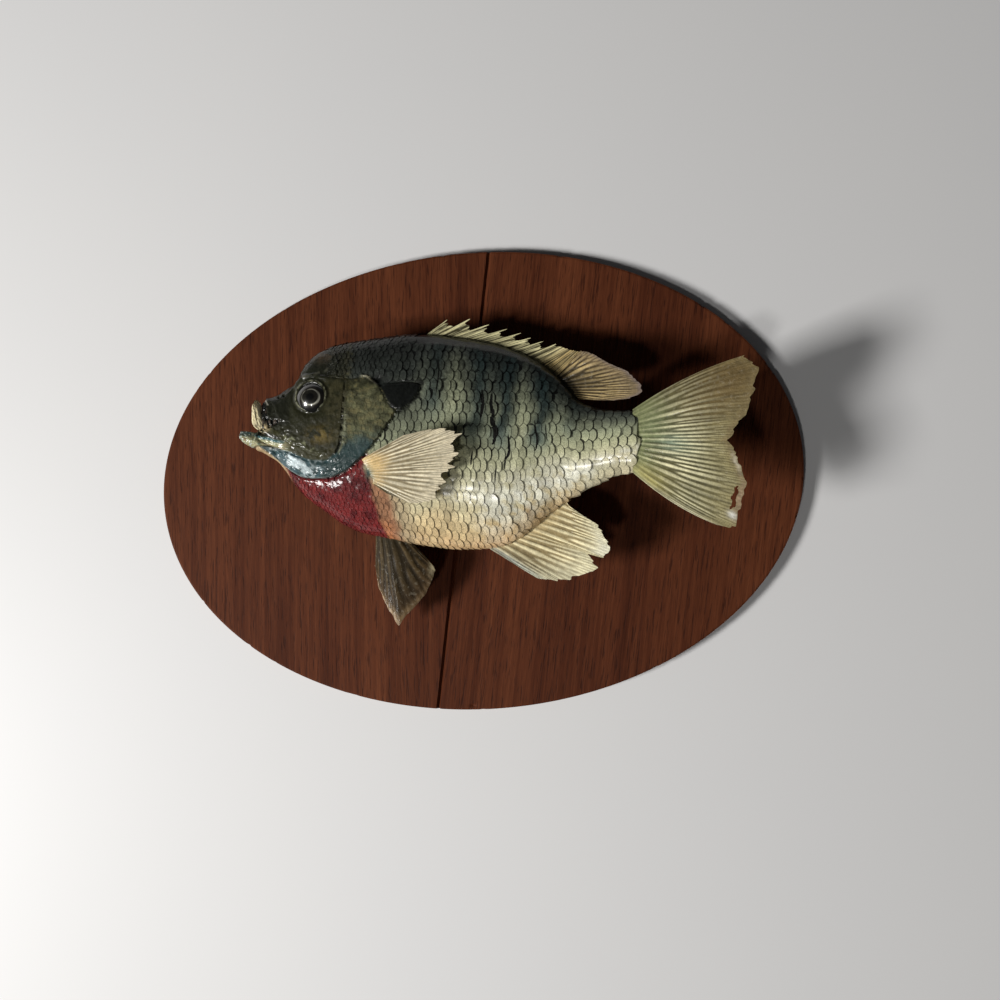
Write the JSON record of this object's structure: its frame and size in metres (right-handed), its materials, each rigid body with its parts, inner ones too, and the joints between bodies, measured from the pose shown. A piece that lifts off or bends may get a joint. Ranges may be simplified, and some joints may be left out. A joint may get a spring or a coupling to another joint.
{
  "type": "mounted bluegill sunfish on an oval board",
  "caption": "Skin-mounted bluegill sunfish, life size, lying left side out on a flat oval wood-panel board with a V-groove.",
  "frame": {"origin": "centre of the oval board's back face", "axes": "+X along the board's long axis towards the tail, +Y towards the fish's back, +Z out of the board's front"},
  "size_m": [0.283, 0.2, 0.0554],
  "materials": {
    "board_wood": "satin varnished reddish-brown veneer",
    "fish_skin": "dried scaled skin, painted and varnished",
    "fin_rays": "dried translucent membrane on raised rays, varnished",
    "jaw_filler": "bare rough cream filler",
    "eye_glass": "polished glass over a painted iris",
    "screw_steel": "zinc plated"
  },
  "bodies": {
    "root": {"board": "board_wood", "screw_front": "screw_steel", "screw_rear": "screw_steel", "head": "fish_skin", "breast": "fish_skin", "trunk": "fish_skin", "tail_stalk": "fish_skin", "gill_cover_left": "fish_skin", "gill_cover_right": "fish_skin", "ear_flap_left": "fish_skin", "ear_flap_right": "fish_skin", "eye_left": "eye_glass", "eye_right": "eye_glass", "upper_jaw": "jaw_filler", "lower_jaw": "fish_skin", "dorsal_fin_spiny": "fin_rays", "dorsal_fin_soft": "fin_rays", "anal_fin": "fin_rays", "tail_fin_upper": "fin_rays", "tail_fin_lower": "fin_rays", "pectoral_fin_left": "fin_rays", "pectoral_fin_right": "fin_rays", "pelvic_fin_left": "fin_rays", "pelvic_fin_right": "fin_rays"}
  },
  "joints": []
}
